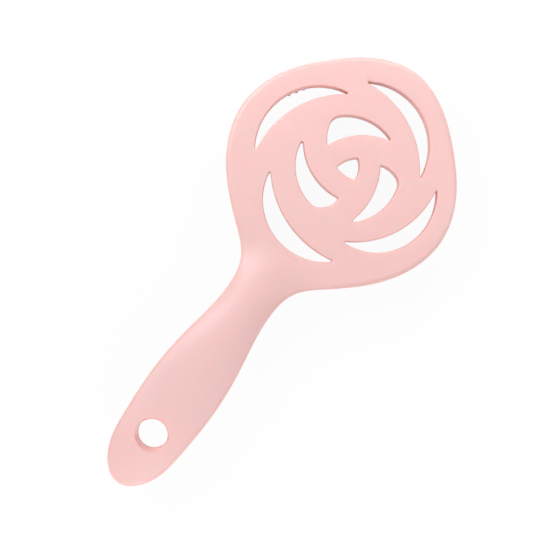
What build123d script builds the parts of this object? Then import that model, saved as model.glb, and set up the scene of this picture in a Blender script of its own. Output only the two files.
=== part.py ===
from build123d import *
import math
import os

# A rose-head vent hairbrush lying on its pins.  +X runs from the handle's end to the head's tip and +Z
# is the brush's back.  The origin lies on the surface, under the middle of the length.  Millimetres.

# Plan
brush_length = 200.0
head_length = 96.0
head_width = 95.6
grip_width = 30.0
grip_from_end = 41.0
neck_width = 20.6
neck_from_end = 88.0
hang_hole_diameter = 12.4
hang_hole_from_end = 23.7

# Heights
pin_reach = 13.5  # the pins' free length in front of the bed
bed_thickness = 3.2
grille_thickness = 3.4  # the back shell's head at its edge, behind the parting plane
head_crown = 1.2
grip_crown = 3.0  # how far the handle's middle stands over its edges at the grip, back and front alike
neck_crown = 4.2  # the same at the neck, where the ridge is highest
back_edge_radius = 2.2
front_edge_radius = 1.6
back_opening_chamfer = 0.6
front_opening_chamfer = 0.3
hang_hole_chamfer = 0.8

# The handle's ridge sinks into the head: over what length, and where the back's ends
ridge_run_out = 16.0
ridge_end_from_rose = 36.0

# Pockets that lighten the handle's halves, open at the parting plane
pocket_depth = 3.0
pocket_wall = 4.2  # from the pockets to the outline
pocket_corner = 2.0
pocket_past_neck = 4.0
rib_thickness = 2.0

# Seam between the pin bed and the handle cover
bed_seam_radius = 57.0
bed_seam_from_rose = 46.0
seam_gap = 0.15

# Locating pegs on the front pieces, which press into the back shell
peg_diameter = 3.0
peg_length = 2.0
peg_clearance = 0.1
post_wall = 1.8
post_from_grip = 4.0
post_from_neck = 6.0

# Pins
rim_pitch = 3.15
rib_pitch = 4.1
pin_root_diameter = 1.8
pin_tip_diameter = 1.3
pin_tip_chamfer = 0.3
pin_hole_clearance = 0.05

# Places that follow from the sizes
handle_end = -brush_length / 2
head_tip = brush_length / 2
rose_x = head_tip - head_length / 2
grip_x = handle_end + grip_from_end
neck_x = handle_end + neck_from_end
seam_x = rose_x - bed_seam_from_rose
hang_hole_x = handle_end + hang_hole_from_end
parting_z = pin_reach + bed_thickness

# Outline of one side, as shares of the way and of the half width: the grip's end, a point between grip and
# neck, one between neck and head, then the head
END_PROFILE = ((0.22, 0.73), (0.55, 0.927))
WAIST = (0.47, 0.33)
FLARE = (0.62, 0.26)
HEAD_PROFILE = (
    ((-0.90, 0.43), (-0.61, 0.75), (-0.32, 0.938))
    + ((-0.03, 1), (0.33, 0.905), (0.665, 0.637), (0.905, 0.33))
)

# Sections that shape the skin over a half: along the handle, in shares of the grip's place
HANDLE_STATIONS = (-0.12, 0.05, 0.22, 0.55, 1)
# About the neck, in millimetres before the ridge's end
NECK_STATIONS = (28, 20)
# Where the ridge stands on the head: millimetres before its end, half span and foot in half necks, heights of
# side and foot over the edge
RUN_OUT = ((14, 1.75, 0.6, -1.0, -0.3), (8, 2.4, 0.4, -0.6, 0))
# Along the head: the way from its middle in half lengths, and the share of the crown
HEAD_STATIONS = ((-0.5, 0.95), (0, 1), (0.5, 0.75), (0.9, 0.2), (1.12, -0.3))
SKIN_OVERHANG = 1.15  # how far the sections reach past the outline
SKIN_DEPTH = 10.0
MIDDLE_PULL = 6 / 16  # the share of its middle point's height that a curve through five pulling points takes

# The rose's openings, in shares of the head's half length and half width from its middle.
# A crescent is tip, outer arc, tip, inner arc.
CRESCENTS = (
    ((-0.350, 0.493), (-0.768, 0.146), (-0.651, -0.377), (-0.626, 0.097)),
    ((-0.308, 0.680), (0.206, 0.758), (0.540, 0.322), (0.159, 0.638)),
    ((0.692, 0.287), (0.745, -0.250), (0.298, -0.552), (0.626, -0.194)),
    ((-0.478, -0.330), (-0.199, -0.778), (0.331, -0.708), (-0.142, -0.658)),
)
# A petal is tip, long arc, round corner, short arc, tip, inner arc.
PETALS = (
    ((0.020, 0.426), (-0.254, 0.301), (-0.385, 0.030), (-0.319, -0.065), (-0.209, -0.101), (-0.173, 0.196)),
    ((0.420, -0.191), (0.450, 0.086), (0.305, 0.324), (0.187, 0.297), (0.087, 0.228), (0.310, 0.064)),
    ((-0.316, -0.291), (-0.088, -0.443), (0.186, -0.431), (0.223, -0.328), (0.211, -0.220), (-0.044, -0.319)),
)
# The heart is three corners, each followed by the middle of its bulging side.
HEART = (
    ((-0.015, 0.062), (0.072, 0.032), (0.150, -0.035))
    + ((0.078, -0.098), (-0.015, -0.118), (-0.028, -0.026))
)
crescent_tip_radius = 0.35
petal_tip_radius = 0.5
petal_corner_radius = 5.0
heart_corner_radius = 0.8

# Rows of pins along the rose's ribs, in the same shares: the closed row in the rim, which comes close to one
# crescent, the ring between crescents and petals in four stretches, the bridges from it to the rim, the ring
# about the heart, and the spokes that tie it to the petals' ring.
RIM_ROW = (
    ((0.9, 0.0), (0.745, 0.39), (0.346, 0.722), (-0.03, 0.885), (-0.398, 0.76), (-0.76, 0.398))
    + ((-0.9, 0.0), (-0.76, -0.398), (-0.398, -0.76), (0.0, -0.9), (0.398, -0.76), (0.76, -0.398))
)
RING_ROWS = (
    ((-0.23, 0.53), (-0.04, 0.55), (0.15, 0.47), (0.34, 0.41), (0.56, 0.22)),
    ((0.56, 0.22), (0.585, 0.0), (0.52, -0.17), (0.375, -0.31), (0.21, -0.575)),
    ((0.21, -0.575), (0.06, -0.595), (-0.15, -0.54), (-0.33, -0.42), (-0.42, -0.20)),
    ((-0.42, -0.20), (-0.52, -0.02), (-0.48, 0.17), (-0.36, 0.36), (-0.23, 0.53)),
)
BRIDGE_ROWS = (
    ((-0.23, 0.53), (-0.44, 0.66)),
    ((0.56, 0.22), (0.68, 0.39)),
    ((0.21, -0.575), (0.44, -0.67)),
    ((-0.42, -0.20), (-0.56, -0.33), (-0.64, -0.50)),
)
HEART_ROWS = (
    ((-0.03, 0.19), (0.15, 0.09), (0.25, -0.10)),
    ((0.25, -0.10), (0.12, -0.18), (-0.02, -0.21), (-0.13, -0.20)),
    ((-0.13, -0.20), (-0.13, 0.05), (-0.03, 0.19)),
)
SPOKE_ROWS = (
    ((-0.03, 0.19), (0.15, 0.47)),
    ((0.25, -0.10), (0.375, -0.31)),
    ((-0.13, -0.20), (-0.42, -0.20)),
)


def rose_point(u, v):
    """A place in the head from shares of its half length and half width."""
    return (rose_x + u * head_length / 2, v * head_width / 2)


def between(start, stop, shares):
    """A place between two others, its shares of the way along x and along y."""
    return tuple(a + share * (b - a) for a, b, share in zip(start, stop, shares))


def half_outline():
    """One side of the plan from the handle's end to the head's tip."""
    grip_half = grip_width / 2
    neck_half = neck_width / 2
    waist = between((grip_x, grip_half), (neck_x, neck_half), WAIST)
    flare = between((neck_x, neck_half), rose_point(*HEAD_PROFILE[0]), FLARE)
    points = [(handle_end, 0)]
    points += [(handle_end + u * grip_from_end, v * grip_half) for u, v in END_PROFILE]
    points += [(grip_x, grip_half), waist, (neck_x, neck_half), flare]
    points += [rose_point(u, v) for u, v in HEAD_PROFILE]
    points.append((head_tip, 0))
    return points


def outline():
    side = Spline(half_outline(), tangents=[(0, 1), (0, -1)], tangent_scalars=[1, 1])
    return make_face([side, mirror(side, Plane.XZ)])


def half_width_at(x):
    """The outline's half width, read straight between its points."""
    points = half_outline()
    for (x0, y0), (x1, y1) in zip(points, points[1:]):
        if x <= x1:
            return y0 + (y1 - y0) * (x - x0) / (x1 - x0)
    return 0


def ease(share):
    """Run smoothly from 0 to 1 as the share does, and stay there."""
    share = min(max(share, 0), 1)
    return share * share * (3 - 2 * share)


def ridge_height(x, ridge_end):
    """How far the handle's middle stands over its edges: rounded off at the end, highest at the neck."""
    full = grip_crown + (neck_crown - grip_crown) * ease((x - grip_x) / (neck_x - grip_x))
    end_length = END_PROFILE[-1][0] * grip_from_end
    rounding = 1 - max(0, 1 - (x - handle_end) / end_length) ** 2
    return full * rounding * ease((ridge_end - x) / ridge_run_out)


def skin_section(x, half_span, side_z, shoulder_y, shoulder_z, pull_z):
    """An upright slice through the space under a skin; shoulders and a middle point pull its upper edge."""
    left, right = (x, -half_span, side_z), (x, half_span, side_z)
    foot_left, foot_right = (x, -half_span, -SKIN_DEPTH), (x, half_span, -SKIN_DEPTH)
    skin = Bezier(right, (x, shoulder_y, shoulder_z), (x, 0, pull_z), (x, -shoulder_y, shoulder_z), left)
    return Wire([Line(left, foot_left), Line(foot_left, foot_right), Line(foot_right, right), skin])


def crowned_section(x, half_width, middle_z, crown):
    """A slice whose upper edge is one even curve, crowned over a half width and drawn on past it."""
    half_span = SKIN_OVERHANG * half_width
    drop = SKIN_OVERHANG**2 * crown
    return skin_section(x, half_span, middle_z - drop, half_span / 2, middle_z, middle_z + drop / 3)


def ridge_section(x, half_span, side_z, foot_y, foot_z, rise):
    """A slice where the ridge stands on the flat of the head."""
    return skin_section(x, half_span, side_z, foot_y, foot_z, foot_z + rise / MIDDLE_PULL)


def under_skin(edge_height, dome, ridge_end):
    """The space under a half's outer face: the handle's ridge runs out into the head by ridge_end."""
    neck_half = neck_width / 2
    places = [handle_end + share * grip_from_end for share in HANDLE_STATIONS]
    places += [grip_x + WAIST[0] * (neck_x - grip_x)] + [ridge_end - back for back in NECK_STATIONS]
    sections = []
    for x in places:
        rise = ridge_height(x, ridge_end)
        sections.append(crowned_section(x, max(half_width_at(x), neck_half), edge_height + rise, rise))
    for back, span, foot, side_rise, foot_rise in RUN_OUT:
        x = ridge_end - back
        side_z, foot_z = edge_height + side_rise, edge_height + foot_rise
        rise = ridge_height(x, ridge_end)
        sections.append(ridge_section(x, span * neck_half, side_z, foot * neck_half, foot_z, rise))
    far_places = [(rose_x + u * head_length / 2, share) for u, share in HEAD_STATIONS]
    for x, share in [(ridge_end, HEAD_STATIONS[0][1])] + far_places:
        sections.append(crowned_section(x, head_width / 2, edge_height + share * dome, dome))
    return Solid.make_loft(sections)


def half_body(edge_height, dome, ridge_end, edge_radius):
    """Half of the brush without its openings, standing on the parting plane at z = 0."""
    prism = extrude(outline(), amount=edge_height + 2 * neck_crown)
    body = prism & under_skin(edge_height, dome, ridge_end)
    skin = body.faces().sort_by(Axis.Z)[-1]
    return fillet(skin.outer_wire().edges(), edge_radius)


def arc_loop(points, corner_radii):
    """A face bounded by arcs: a corner, the middle of the arc that leaves it, and so on round."""
    places = [rose_point(u, v) for u, v in points]
    arcs = []
    for k in range(0, len(places), 2):
        arcs.append(ThreePointArc(places[k], places[k + 1], places[(k + 2) % len(places)]))
    face = make_face(arcs)
    for k, radius in enumerate(corner_radii):
        x, y = places[2 * k]
        corner = face.vertices().sort_by_distance((x, y, 0))[0]
        face = fillet(corner, radius)
    return face


def all_pegs():
    return handle_posts() + head_pegs()


def rose_openings():
    openings = [arc_loop(points, [crescent_tip_radius] * 2) for points in CRESCENTS]
    petal_radii = [petal_tip_radius, petal_corner_radius, petal_tip_radius]
    openings += [arc_loop(points, petal_radii) for points in PETALS]
    openings.append(arc_loop(HEART, [heart_corner_radius] * 3))
    return openings


def row_places(points):
    """Pins at an even pitch between a row's two ends, which they leave free."""
    path = Spline([rose_point(u, v) for u, v in points])
    steps = round(path.length / rib_pitch)
    return [path.position_at(k / steps) for k in range(1, steps)]


def pin_places():
    """Each group's name and the places of its pins."""
    rim = Spline([rose_point(u, v) for u, v in RIM_ROW], periodic=True)
    count = round(rim.length / rim_pitch)
    rim_places = [rim.position_at((k + 0.5) / count) for k in range(count)]
    quarters = ("tip_left", "neck_left", "neck_right", "tip_right")
    groups = {f"rim_pins_{name}": [] for name in quarters}
    for place in rim_places:
        turn = math.atan2(place.Y, place.X - rose_x) % (2 * math.pi)
        groups[f"rim_pins_{quarters[int(turn / (math.pi / 2))]}"].append(place)
    for name, rows in (("ring_pins", RING_ROWS), ("heart_pins", HEART_ROWS)):
        for k, row in enumerate(rows):
            groups[f"{name}_{k + 1}"] = row_places(row)
    groups["bridge_pins"] = [place for row in BRIDGE_ROWS for place in row_places(row)]
    groups["spoke_pins"] = [place for row in SPOKE_ROWS for place in row_places(row)]
    return groups


def pin():
    """A tapered nylon pin on z = 0, blunt tip down; its root is the part inside the bed."""
    low = (Align.CENTER, Align.CENTER, Align.MIN)
    shank = Cone(pin_tip_diameter / 2, pin_root_diameter / 2, parting_z, align=low)
    return chamfer(shank.edges().sort_by(Axis.Z)[0], pin_tip_chamfer)


def handle_posts():
    """Places of the posts inside the handle that carry the pegs and their sockets."""
    return [(grip_x + post_from_grip, 0), (neck_x - post_from_neck, 0)]


def head_pegs():
    """Places of the pegs in the head, where the rose's ribs meet."""
    return [rose_point(*row[0]) for row in RING_ROWS]


def handle_pockets():
    """Pockets under the handle's skin, between cross ribs at the posts; z = 0 is the parting plane."""
    first_x = hang_hole_x + hang_hole_diameter / 2 + pocket_wall
    last_x = neck_x + pocket_past_neck
    walls = [first_x] + [x for x, y in handle_posts()] + [last_x]
    pockets = []
    for start, stop in zip(walls, walls[1:]):
        near = start + rib_thickness / 2
        far = stop - rib_thickness / 2
        near_half = half_width_at(near) - pocket_wall
        far_half = half_width_at(far) - pocket_wall
        corners = [(near, -near_half), (far, -far_half), (far, far_half), (near, near_half)]
        bay = make_face(Polyline(corners, close=True))
        bay = fillet(bay.vertices(), pocket_corner)
        bay -= [Pos(x, y) * Circle(peg_diameter / 2 + post_wall) for x, y in handle_posts()]
        pockets.append(extrude(bay, amount=pocket_depth))
    return pockets


def break_edges(body, in_head, size):
    """Chamfer the outer edges of the openings in the head, or of the hang hole in the handle."""
    skin = body.faces().sort_by(Axis.Z)[-1]
    wires = [wire for wire in skin.inner_wires() if (wire.center().X > neck_x) == in_head]
    return chamfer([edge for wire in wires for edge in wire.edges()], size)


def back_shell():
    """The rose-cut head and the back half of the handle, in one moulding."""
    tall = 3 * (grille_thickness + neck_crown)
    body = half_body(grille_thickness, head_crown, rose_x - ridge_end_from_rose, back_edge_radius)
    body -= [extrude(opening, amount=tall) for opening in rose_openings()]
    body -= Pos(hang_hole_x, 0, 0) * Cylinder(hang_hole_diameter / 2, tall)
    body = break_edges(body, True, back_opening_chamfer)
    body = break_edges(body, False, hang_hole_chamfer)
    depth = peg_length + peg_clearance
    socket = Cylinder(peg_diameter / 2 + peg_clearance, depth)
    sockets = [Pos(x, y, depth / 2) * socket for x, y in all_pegs()]
    return Pos(0, 0, parting_z) * (body - handle_pockets() - sockets)


def seam_disc(clearance):
    """The plan of the pin bed's side of the curved seam at the neck."""
    return Pos(seam_x + bed_seam_radius, 0) * Circle(bed_seam_radius + clearance)


def front_piece(body, pegs):
    """Turn a front piece outer face down under the parting plane and stand its pegs on it."""
    body = Pos(0, 0, parting_z) * mirror(body, Plane.XY)
    peg = Cylinder(peg_diameter / 2, peg_length)
    return body + [Pos(x, y, parting_z + peg_length / 2) * peg for x, y in pegs]


def handle_cover():
    """The front half of the handle."""
    tall = 3 * (bed_thickness + neck_crown)
    body = half_body(bed_thickness, 0, seam_x, front_edge_radius) - extrude(seam_disc(seam_gap), amount=tall)
    body -= Pos(hang_hole_x, 0, 0) * Cylinder(hang_hole_diameter / 2, tall)
    body = break_edges(body, False, hang_hole_chamfer)
    return front_piece(body - handle_pockets(), handle_posts())


def pin_bed(places):
    """The flat plate that holds the pins, with the same rose as the back shell."""
    plan = outline() & seam_disc(0)
    plate = extrude(plan - rose_openings(), amount=bed_thickness)
    face = plate.faces().sort_by(Axis.Z)[-1]
    plate = chamfer([edge for wire in face.inner_wires() for edge in wire.edges()], front_opening_chamfer)
    face = plate.faces().sort_by(Axis.Z)[-1]
    seam_tip_x = seam_x + bed_seam_radius - math.sqrt(bed_seam_radius**2 - half_width_at(seam_x) ** 2)
    rim = [edge for edge in face.outer_wire().edges() if edge.center().X > seam_tip_x]
    plate = fillet(rim, front_edge_radius)
    hole = Circle(pin_root_diameter / 2 + pin_hole_clearance)
    plate -= extrude(Sketch() + [Pos(place.X, place.Y) * hole for place in places], amount=bed_thickness)
    return front_piece(plate, head_pegs())


def save(name, solids):
    """Write one node, which holds one solid or a group of equal ones."""
    shape = solids[0] if len(solids) == 1 else Compound(children=solids)
    export_step(shape, f"parts/{name}.step")


def main():
    os.makedirs("parts", exist_ok=True)
    groups = pin_places()
    save("back_shell", [back_shell()])
    save("handle_cover", [handle_cover()])
    save("pin_bed", [pin_bed([place for places in groups.values() for place in places])])
    first_pin = pin()
    for name, places in groups.items():
        save(name, [Pos(place.X, place.Y, 0) * first_pin for place in places])


main()
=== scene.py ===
"""A vanity hairbrush with a rose-cut head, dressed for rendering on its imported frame."""

import math

import bpy
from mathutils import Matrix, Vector


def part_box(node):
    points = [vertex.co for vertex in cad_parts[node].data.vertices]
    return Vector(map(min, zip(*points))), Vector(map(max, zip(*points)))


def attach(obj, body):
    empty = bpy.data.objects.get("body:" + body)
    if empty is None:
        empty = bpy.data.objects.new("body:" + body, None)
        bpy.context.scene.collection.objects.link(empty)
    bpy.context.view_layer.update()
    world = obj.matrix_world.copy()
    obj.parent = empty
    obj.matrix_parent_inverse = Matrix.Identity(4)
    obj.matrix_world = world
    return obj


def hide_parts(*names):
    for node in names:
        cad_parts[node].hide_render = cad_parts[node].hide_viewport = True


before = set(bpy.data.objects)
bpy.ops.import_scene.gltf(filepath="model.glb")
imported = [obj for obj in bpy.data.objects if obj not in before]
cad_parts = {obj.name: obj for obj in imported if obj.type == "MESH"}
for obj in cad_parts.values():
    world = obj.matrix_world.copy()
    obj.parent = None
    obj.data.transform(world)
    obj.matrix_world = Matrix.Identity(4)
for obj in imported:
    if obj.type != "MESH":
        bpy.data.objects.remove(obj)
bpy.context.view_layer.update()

# Heights that the frame gives.  All sizes are in metres.
seam_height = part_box("back_shell")[0].z
bed_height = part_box("pin_bed")[0].z
pin_root_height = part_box("rim_pins_tip_left")[1].z

# The pins' turned shape, from the tip up
pin_sides = 8
pin_ball_rings = 5
pin_ball_radius = 0.00095
pin_ball_open = 1.5 * pin_ball_radius  # above this height the ball is cut open for the shank
pin_neck_radius = 0.00060
pin_neck_height = 0.0022
pin_shank_radius = 0.00076
pin_shank_height = 0.0100
pin_root_radius = 0.00090
pin_collar_radius = 0.00125
pin_collar_height = 0.00045
pin_smooth_angle = math.radians(40)

# The moulded halves
weld_distance = 0.000004
seam_ease = 0.00014
level_normal = 0.999  # the least upright share of a level face's normal
smooth_angle = math.radians(50)
large_face_weight = 90

# The plastic: drifts and speckles of tone to a metre, and the grain's height
drift_scale = 28
speckle_scale = 900
grain_height = 0.0001

# The upright share of a face's normal: at the first it is wholly a wall and takes the full painted shade, a
# deeper colour, and from the second on it is wholly flat and takes none
steep_normal = 0.30
flat_normal = 0.95

# How far light glows through the plastic, in red, green and blue
glow_weight = 0.45
glow_reach = 0.0040
glow_shares = (1.0, 0.20, 0.16)

# The camera looks straight down on the brush's back, and the head points to the upper right
camera_turn = math.radians(-54)
camera_height = 0.567
camera_lens = 93.8
camera_aim = (0.0035, 0.0024)

# The light from the studio's walls and from its dark ceiling, which begins at a share of the way up
wall_strength = 0.575
ceiling_strength = 0.0
ceiling_begins = 0.80

# The table's white, and the share of it that shows as plain white whatever shadow falls there
table_size = 6
table_white = 0.93
table_plain_share = 0.945


def deselect_all():
    if bpy.context.object and bpy.context.object.mode != "OBJECT":
        bpy.ops.object.mode_set(mode="OBJECT")
    bpy.ops.object.select_all(action="DESELECT")


def make_active(piece):
    deselect_all()
    piece.select_set(True)
    bpy.context.view_layer.objects.active = piece


def apply_all_modifiers(piece):
    make_active(piece)
    for modifier in list(piece.modifiers):
        bpy.ops.object.modifier_apply(modifier=modifier.name)


def select_faces(piece, wanted):
    """Leave only the faces selected for which wanted(face) holds, and open edit mode on them."""
    make_active(piece)
    bpy.ops.object.mode_set(mode="EDIT")
    bpy.ops.mesh.select_mode(type="FACE")
    bpy.ops.mesh.select_all(action="DESELECT")
    bpy.ops.object.mode_set(mode="OBJECT")
    for face in piece.data.polygons:
        face.select = wanted(face)
    bpy.ops.object.mode_set(mode="EDIT")


def select_points(piece, wanted):
    """Leave only the points selected for which wanted(point) holds, and open edit mode on them."""
    make_active(piece)
    bpy.ops.object.mode_set(mode="EDIT")
    bpy.ops.mesh.select_mode(type="VERT")
    bpy.ops.mesh.select_all(action="DESELECT")
    bpy.ops.object.mode_set(mode="OBJECT")
    for point in piece.data.vertices:
        point.select = wanted(point)
    bpy.ops.object.mode_set(mode="EDIT")


# Materials


def new_group(name, inputs, outputs):
    group = bpy.data.node_groups.new(name, "ShaderNodeTree")
    for title, kind, value in inputs:
        group.interface.new_socket(title, in_out="INPUT", socket_type=kind).default_value = value
    for title, kind in outputs:
        group.interface.new_socket(title, in_out="OUTPUT", socket_type=kind)
    return group


def add_node(tree, kind, **settings):
    node = tree.nodes.new(kind)
    for name, value in settings.items():
        setattr(node, name, value)
    return node


def seen_ray(tree):
    """A socket that gives 1 for what is looked at, straight on or by reflection, and 0 for light alone."""
    path = add_node(tree, "ShaderNodeLightPath")
    direct = add_node(tree, "ShaderNodeMath", operation="MAXIMUM")
    tree.links.new(path.outputs["Is Camera Ray"], direct.inputs[0])
    tree.links.new(path.outputs["Is Glossy Ray"], direct.inputs[1])
    seen = add_node(tree, "ShaderNodeMath", operation="MAXIMUM")
    tree.links.new(direct.outputs["Value"], seen.inputs[0])
    tree.links.new(path.outputs["Is Transmission Ray"], seen.inputs[1])
    return seen.outputs["Value"]


def moulded_skin_group():
    """The skin of a satin moulding: a drifting tone, painted shade as a deeper colour on its walls, a
    cloudy sheen, a fine grain.
    """
    group = new_group(
        "moulded_skin",
        [
            ("Color", "NodeSocketColor", (1, 1, 1, 1)),
            ("Deep Color", "NodeSocketColor", (1, 1, 1, 1)),
            ("Painted Shade Color", "NodeSocketColor", (1, 1, 1, 1)),
            ("Satin", "NodeSocketFloat", 0.4),
            ("Cloudiness", "NodeSocketFloat", 0.06),
            ("Grain Scale", "NodeSocketFloat", 2500.0),
            ("Grain Strength", "NodeSocketFloat", 0.05),
        ],
        [("Color", "NodeSocketColor"), ("Roughness", "NodeSocketFloat"), ("Normal", "NodeSocketVector")],
    )
    links = group.links
    inputs = add_node(group, "NodeGroupInput")
    outputs = add_node(group, "NodeGroupOutput")
    place = add_node(group, "ShaderNodeTexCoord")

    drift = add_node(group, "ShaderNodeTexNoise")
    drift.inputs["Scale"].default_value = drift_scale
    drift.inputs["Detail"].default_value = 3.0
    links.new(place.outputs["Object"], drift.inputs["Vector"])
    drift_range = add_node(group, "ShaderNodeMapRange")
    drift_range.inputs["From Min"].default_value = 0.3
    drift_range.inputs["From Max"].default_value = 0.7
    links.new(drift.outputs["Fac"], drift_range.inputs["Value"])

    speckle = add_node(group, "ShaderNodeTexNoise")
    speckle.inputs["Scale"].default_value = speckle_scale
    speckle.inputs["Detail"].default_value = 1.0
    links.new(place.outputs["Object"], speckle.inputs["Vector"])
    blotch = add_node(group, "ShaderNodeMath", operation="MULTIPLY")
    links.new(drift_range.outputs["Result"], blotch.inputs[0])
    links.new(speckle.outputs["Fac"], blotch.inputs[1])
    tone = add_node(group, "ShaderNodeMix", data_type="RGBA")
    links.new(blotch.outputs["Value"], tone.inputs["Factor"])
    links.new(inputs.outputs["Color"], tone.inputs["A"])
    links.new(inputs.outputs["Deep Color"], tone.inputs["B"])

    # Painted shade: steep walls are mixed toward a deeper, more saturated colour that stands in for the
    # shade in the openings' walls
    facing = add_node(group, "ShaderNodeSeparateXYZ")
    links.new(place.outputs["Normal"], facing.inputs["Vector"])
    flatness = add_node(group, "ShaderNodeMath", operation="ABSOLUTE")
    links.new(facing.outputs["Z"], flatness.inputs[0])
    wall_shade_mask = add_node(group, "ShaderNodeMapRange", interpolation_type="SMOOTHSTEP")
    wall_shade_mask.inputs["From Min"].default_value = steep_normal
    wall_shade_mask.inputs["From Max"].default_value = flat_normal
    wall_shade_mask.inputs["To Min"].default_value = 1.0
    wall_shade_mask.inputs["To Max"].default_value = 0.0
    links.new(flatness.outputs["Value"], wall_shade_mask.inputs["Value"])
    body = add_node(group, "ShaderNodeMix", data_type="RGBA")
    links.new(wall_shade_mask.outputs["Result"], body.inputs["Factor"])
    links.new(tone.outputs["Result"], body.inputs["A"])
    links.new(inputs.outputs["Painted Shade Color"], body.inputs["B"])
    links.new(body.outputs["Result"], outputs.inputs["Color"])

    sheen = add_node(group, "ShaderNodeMath", operation="MULTIPLY_ADD")
    links.new(drift.outputs["Fac"], sheen.inputs[0])
    links.new(inputs.outputs["Cloudiness"], sheen.inputs[1])
    links.new(inputs.outputs["Satin"], sheen.inputs[2])
    links.new(sheen.outputs["Value"], outputs.inputs["Roughness"])

    grain = add_node(group, "ShaderNodeTexNoise")
    grain.inputs["Detail"].default_value = 2.0
    links.new(place.outputs["Object"], grain.inputs["Vector"])
    links.new(inputs.outputs["Grain Scale"], grain.inputs["Scale"])
    bump = add_node(group, "ShaderNodeBump")
    bump.inputs["Distance"].default_value = grain_height
    links.new(inputs.outputs["Grain Strength"], bump.inputs["Strength"])
    links.new(grain.outputs["Fac"], bump.inputs["Height"])
    links.new(bump.outputs["Normal"], outputs.inputs["Normal"])
    return group


moulded_skin = moulded_skin_group()


def moulded_material(name, color, deep_color, painted_shade_color, satin, grain_scale, grain_strength):
    material = bpy.data.materials.new(name)
    material.use_nodes = True
    tree = material.node_tree
    shader = tree.nodes["Principled BSDF"]
    skin = add_node(tree, "ShaderNodeGroup", node_tree=moulded_skin)
    skin.inputs["Color"].default_value = (*color, 1)
    skin.inputs["Deep Color"].default_value = (*deep_color, 1)
    # Painted shade: the deeper, more saturated colour that steep walls take
    skin.inputs["Painted Shade Color"].default_value = (*painted_shade_color, 1)
    skin.inputs["Satin"].default_value = satin
    skin.inputs["Grain Scale"].default_value = grain_scale
    skin.inputs["Grain Strength"].default_value = grain_strength
    tree.links.new(skin.outputs["Color"], shader.inputs["Base Color"])
    tree.links.new(skin.outputs["Roughness"], shader.inputs["Roughness"])
    tree.links.new(skin.outputs["Normal"], shader.inputs["Normal"])
    shader.inputs["Subsurface Weight"].default_value = glow_weight
    shader.inputs["Subsurface Radius"].default_value = glow_shares
    shader.inputs["Subsurface Scale"].default_value = glow_reach
    return material


# The third colour of each material is painted shade, deeper and more saturated, which its steep walls take
rose_pink = moulded_material(
    "rose_pink_satin",
    color=(0.900, 0.588, 0.570),
    deep_color=(0.890, 0.565, 0.546),
    painted_shade_color=(0.930, 0.510, 0.475),
    satin=0.36,
    grain_scale=2600,
    grain_strength=0.05,
)
bed_pink = moulded_material(
    "rose_pink_bed",
    color=(0.885, 0.572, 0.552),
    deep_color=(0.872, 0.547, 0.527),
    painted_shade_color=(0.910, 0.500, 0.465),
    satin=0.42,
    grain_scale=1800,
    grain_strength=0.08,
)
nylon_pink = moulded_material(
    "rose_pink_nylon",
    color=(0.885, 0.522, 0.500),
    deep_color=(0.870, 0.502, 0.480),
    painted_shade_color=(0.905, 0.500, 0.470),
    satin=0.30,
    grain_scale=4000,
    grain_strength=0.02,
)


# Moulded halves


def merged_copy(node_name, piece_name):
    """A copy of a frame node with its loose triangles merged into one skin."""
    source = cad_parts[node_name]
    piece = bpy.data.objects.new(piece_name, source.data.copy())
    piece.data.name = piece_name
    bpy.context.scene.collection.objects.link(piece)
    make_active(piece)
    bpy.ops.mesh.customdata_custom_splitnormals_clear()
    bpy.ops.object.mode_set(mode="EDIT")
    bpy.ops.mesh.select_all(action="SELECT")
    bpy.ops.mesh.remove_doubles(threshold=weld_distance)
    bpy.ops.object.mode_set(mode="OBJECT")
    return piece


def ease_seam(piece, facing):
    """Ease the corner round a half's parting face, so that the closed seam shows as a fine line."""

    def on_seam(place):
        return abs(place.z - seam_height) < weld_distance

    select_faces(piece, lambda face: face.normal.z * facing > level_normal and on_seam(face.center))
    bpy.ops.mesh.inset(thickness=seam_ease, use_even_offset=True)
    bpy.ops.object.mode_set(mode="OBJECT")
    inner = {index for face in piece.data.polygons if face.select for index in face.vertices}
    select_points(piece, lambda point: on_seam(point.co) and point.index not in inner)
    bpy.ops.transform.translate(value=(0, 0, -facing * seam_ease))
    bpy.ops.object.mode_set(mode="OBJECT")


def moulded_half(node_name, piece_name, material, facing):
    """A half that stands for its frame node; facing is 1 where its parting face looks up, else -1."""
    piece = merged_copy(node_name, piece_name)
    ease_seam(piece, facing)
    make_active(piece)
    bpy.ops.object.shade_smooth_by_angle(angle=smooth_angle)
    weighting = piece.modifiers.new("weighted", "WEIGHTED_NORMAL")
    weighting.keep_sharp = True
    weighting.weight = large_face_weight
    apply_all_modifiers(piece)
    piece.data.materials.clear()
    piece.data.materials.append(material)
    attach(piece, "root")
    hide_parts(node_name)
    return piece


moulded_half("back_shell", "rose_back", rose_pink, -1)
moulded_half("handle_cover", "handle_front", rose_pink, 1)
moulded_half("pin_bed", "pin_bed_front", bed_pink, 1)


# Pins


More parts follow.
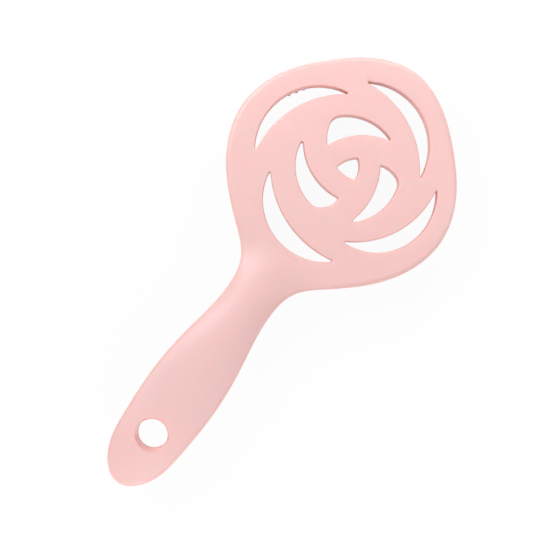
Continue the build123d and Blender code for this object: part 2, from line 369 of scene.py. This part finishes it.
def first_pin():
    """One nylon pin over the origin, tip down: ball end, slim shank, collar at the bed, root."""
    deselect_all()
    bpy.ops.mesh.primitive_uv_sphere_add(
        segments=pin_sides,
        ring_count=pin_ball_rings,
        radius=pin_ball_radius,
        location=(0, 0, pin_ball_radius),
    )
    pin = bpy.context.object
    pin.name = "pin"
    bpy.ops.object.transform_apply(location=True, rotation=True, scale=True)
    select_points(pin, lambda point: point.co.z > pin_ball_open)
    bpy.ops.mesh.delete(type="VERT")
    bpy.ops.object.mode_set(mode="OBJECT")
    rim_height = max(point.co.z for point in pin.data.vertices)
    rim_radius = pin_ball_radius * math.sqrt(1 - (rim_height / pin_ball_radius - 1) ** 2)
    select_points(pin, lambda point: point.co.z > rim_height - weld_distance)
    steps = (
        (pin_neck_height, pin_neck_radius),
        (pin_shank_height, pin_shank_radius),
        (bed_height - pin_collar_height, pin_root_radius),
        (bed_height, pin_collar_radius),
        (bed_height, pin_root_radius),
        (pin_root_height, pin_root_radius),
    )
    height, radius = rim_height, rim_radius
    for next_height, next_radius in steps:
        swell = next_radius / radius
        bpy.ops.mesh.extrude_region_move(TRANSFORM_OT_translate={"value": (0, 0, next_height - height)})
        bpy.ops.transform.resize(value=(swell, swell, 1), center_override=(0, 0, next_height))
        height, radius = next_height, next_radius
    bpy.ops.mesh.edge_face_add()
    bpy.ops.mesh.select_all(action="SELECT")
    bpy.ops.mesh.normals_make_consistent(inside=False)
    bpy.ops.object.mode_set(mode="OBJECT")
    bpy.ops.object.shade_smooth_by_angle(angle=pin_smooth_angle)
    return pin


def pin_places(node_name):
    """The foot of every pin of a node: the middles of the flats on the ends of its CAD pins."""
    flats = []
    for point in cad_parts[node_name].data.vertices:
        if point.co.z > weld_distance:
            continue
        spot = Vector((point.co.x, point.co.y))
        for flat in flats:
            if (flat[0] - spot).length < pin_ball_radius:
                flat.append(spot)
                break
        else:
            flats.append([spot])
    places = []
    for flat in flats:
        xs = [spot.x for spot in flat]
        ys = [spot.y for spot in flat]
        places.append(((min(xs) + max(xs)) / 2, (min(ys) + max(ys)) / 2))
    return places


def pin_row(node_name, pattern):
    """All pins of one node as one piece, each a copy of the first pin."""
    copies = []
    for x, y in pin_places(node_name):
        copy = bpy.data.objects.new(node_name, pattern.data.copy())
        bpy.context.scene.collection.objects.link(copy)
        copy.location = (x, y, 0)
        copies.append(copy)
    deselect_all()
    for copy in copies:
        copy.select_set(True)
    bpy.context.view_layer.objects.active = copies[0]
    bpy.ops.object.join()
    row = bpy.context.object
    bpy.ops.object.transform_apply(location=True, rotation=True, scale=True)
    row.name = node_name + "_nylon"
    row.data.materials.clear()
    row.data.materials.append(nylon_pink)
    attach(row, "root")
    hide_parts(node_name)
    return row


pattern = first_pin()
for node_name in sorted(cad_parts):
    if "_pins" in node_name:
        pin_row(node_name, pattern)
bpy.data.objects.remove(pattern)


# Table


def table_material():
    """A white table that lights the brush as it is, and shows evenly white but for a faint shadow."""
    material = bpy.data.materials.new("white_table")
    material.use_nodes = True
    tree = material.node_tree
    links = tree.links
    board = tree.nodes["Principled BSDF"]
    board.inputs["Base Color"].default_value = (table_white, table_white, table_white, 1)
    board.inputs["Roughness"].default_value = 0.9
    board.inputs["Specular IOR Level"].default_value = 0.2
    white = add_node(tree, "ShaderNodeEmission")
    white.inputs["Color"].default_value = (1, 1, 1, 1)
    white.inputs["Strength"].default_value = 1.0
    share = add_node(tree, "ShaderNodeMath", operation="MULTIPLY")
    share.inputs[1].default_value = table_plain_share
    links.new(seen_ray(tree), share.inputs[0])
    blend = add_node(tree, "ShaderNodeMixShader")
    links.new(share.outputs["Value"], blend.inputs["Fac"])
    links.new(board.outputs["BSDF"], blend.inputs[1])
    links.new(white.outputs["Emission"], blend.inputs[2])
    links.new(blend.outputs["Shader"], tree.nodes["Material Output"].inputs["Surface"])
    return material


def table():
    deselect_all()
    bpy.ops.mesh.primitive_plane_add(size=table_size, location=(0, 0, 0))
    board = bpy.context.object
    board.name = "table"
    board.data.materials.append(table_material())
    return board


table()


# Light and camera


def soft_lamp(name, place, aim, size, power):
    """A round lamp of a size in metres and a power in watts, which no view shows."""
    lamp = bpy.data.lights.new(name, "AREA")
    lamp.shape = "DISK"
    lamp.size = size
    lamp.energy = power
    holder = bpy.data.objects.new(name, lamp)
    bpy.context.scene.collection.objects.link(holder)
    holder.location = place
    holder.rotation_euler = (Vector(aim) - Vector(place)).to_track_quat("-Z", "Y").to_euler()
    holder.visible_camera = False
    return holder


def studio_world():
    """Walls all round that light the brush and show plain white, under a dark ceiling."""
    world = bpy.data.worlds.new("studio")
    world.use_nodes = True
    tree = world.node_tree
    way = add_node(tree, "ShaderNodeTexCoord")
    split = add_node(tree, "ShaderNodeSeparateXYZ")
    tree.links.new(way.outputs["Generated"], split.inputs["Vector"])
    fade = add_node(tree, "ShaderNodeMapRange", interpolation_type="SMOOTHSTEP")
    fade.inputs["From Min"].default_value = ceiling_begins
    fade.inputs["To Min"].default_value = wall_strength
    fade.inputs["To Max"].default_value = ceiling_strength
    tree.links.new(split.outputs["Z"], fade.inputs["Value"])
    strength = add_node(tree, "ShaderNodeMath", operation="MAXIMUM")
    tree.links.new(fade.outputs["Result"], strength.inputs[0])
    tree.links.new(seen_ray(tree), strength.inputs[1])
    tree.links.new(strength.outputs["Value"], tree.nodes["Background"].inputs["Strength"])
    tree.nodes["Background"].inputs["Color"].default_value = (1, 1, 1, 1)
    return world


# One large lamp lights the whole brush from its left side, and small ones fill in close by
soft_lamp("key", (0.190, 1.740, 1.540), (0, 0, 0), 1.2, 19.4)
soft_lamp("head_left", (0.075, 0.140, 0.120), (0.060, 0.030, 0.020), 0.06, 0.042)
soft_lamp("head_right", (0.110, -0.165, 0.130), (0.070, -0.040, 0.020), 0.06, 0.062)
soft_lamp("handle_end", (-0.220, -0.110, 0.130), (-0.075, 0, 0.020), 0.10, 0.195)
soft_lamp("head_tip", (0.260, 0.060, 0.150), (0.080, 0, 0.020), 0.08, 0.165)
bpy.context.scene.world = studio_world()

lens = bpy.data.cameras.new("camera")
lens.lens = camera_lens
lens.clip_start = 0.01
lens.clip_end = 20
camera = bpy.data.objects.new("camera", lens)
bpy.context.scene.collection.objects.link(camera)
camera.location = (*camera_aim, camera_height)
camera.rotation_euler = (0, 0, camera_turn)
bpy.context.scene.camera = camera
bpy.context.scene.view_settings.view_transform = "Standard"
